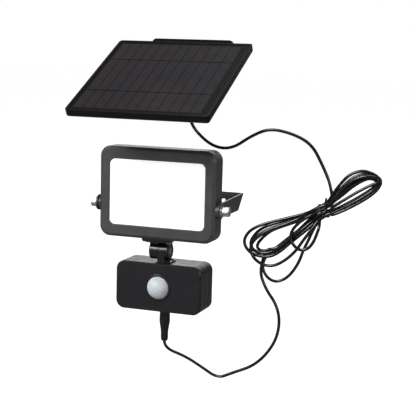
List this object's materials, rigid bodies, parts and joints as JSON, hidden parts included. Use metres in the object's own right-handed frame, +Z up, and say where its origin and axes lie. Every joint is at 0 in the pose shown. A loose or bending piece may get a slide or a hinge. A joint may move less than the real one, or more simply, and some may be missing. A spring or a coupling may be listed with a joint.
{
  "type": "solar flood light",
  "caption": "Solar flood light: rectangular LED head on a tilting yoke, motion sensor box on a hinge below it, and a separate tilting solar panel on a bracket, joined by a coiled cord.",
  "frame": {"origin": "middle wall hole of the lamp yoke's web, at the web's rear face", "axes": "-Y the way the light and the lens face, +X to the right of the light seen from behind it, +Z up"},
  "size_m": [0.3325, 0.1692, 0.3842],
  "materials": {
    "anthracite_paint": "fine matt powder coat",
    "clear_glass": "clear toughened glass",
    "black_rubber": "moulded",
    "white_diffuser": "opal diffuser sheet",
    "white_plastic": "white moulded reflector",
    "circuit_board": "white solder mask",
    "led_phosphor": "phosphor faced LED packages",
    "stainless": "plain stainless steel",
    "black_plastic": "satin moulded ABS",
    "milky_lens": "milky polyethylene fresnel lens",
    "cell_wrap": "shrink-wrapped cell",
    "silicon": "dark silicon cells",
    "cord_sheath": "smooth black PVC sheath"
  },
  "bodies": {
    "wall_brackets": {"lamp_yoke": "anthracite_paint", "panel_bracket": "anthracite_paint", "upper_lead": "cord_sheath", "lower_lead": "cord_sheath", "cord_hank": "cord_sheath", "cord_tie": "cord_sheath"},
    "lamp_head": {"front_frame": "anthracite_paint", "lamp_glass": "clear_glass", "glass_gasket": "black_rubber", "light_diffuser": "white_diffuser", "reflector_tray": "white_plastic", "led_board": "circuit_board", "led_chips": "led_phosphor", "lamp_housing": "anthracite_paint", "frame_screws": "stainless", "pivot_bolts": "stainless", "pivot_flat_washers": "stainless", "pivot_spring_washer": "stainless", "sensor_bracket": "black_plastic", "sensor_bracket_screws": "stainless", "hinge_screw": "stainless", "hinge_nut": "stainless"},
    "sensor_box": {"sensor_neck": "black_plastic", "neck_screws": "stainless", "sensor_front_cover": "black_plastic", "sensor_seal": "black_rubber", "sensor_rear_shell": "black_plastic", "sensor_box_screws": "stainless", "lens_dome": "milky_lens", "lens_ring": "black_plastic", "motion_detector": "stainless", "control_board": "circuit_board", "battery_holder": "black_plastic", "battery_cell": "cell_wrap", "dc_inlet": "black_plastic", "plug_body": "cord_sheath", "plug_barrel": "stainless"},
    "solar_panel": {"panel_tray": "black_plastic", "panel_backing": "silicon", "solar_cells": "silicon", "busbars": "stainless", "panel_cover": "clear_glass", "junction_box": "black_plastic", "junction_lid": "black_plastic", "junction_screws": "stainless", "cord_gland": "black_rubber", "panel_lugs": "anthracite_paint", "lug_screws": "stainless", "panel_bolts": "stainless", "panel_washers": "stainless", "panel_nuts": "stainless"}
  },
  "joints": [
    {"name": "lamp_tilt", "type": "hinge", "parent": "wall_brackets", "child": "lamp_head", "pos_m": [0, -0.071, -0.0015], "axis": [1, 0, 0], "range_deg": [-60, 30], "deforming": ["lower_lead"]},
    {"name": "sensor_tilt", "type": "hinge", "parent": "lamp_head", "child": "sensor_box", "pos_m": [0.0033, -0.061, -0.0535], "axis": [1, 0, 0], "range_deg": [-40, 45], "deforming": ["lower_lead"]},
    {"name": "panel_tilt", "type": "hinge", "parent": "wall_brackets", "child": "solar_panel", "pos_m": [0.004, -0.04878, 0.13534], "axis": [1, 0, 0], "range_deg": [-27, 25], "deforming": ["upper_lead"]}
  ]
}
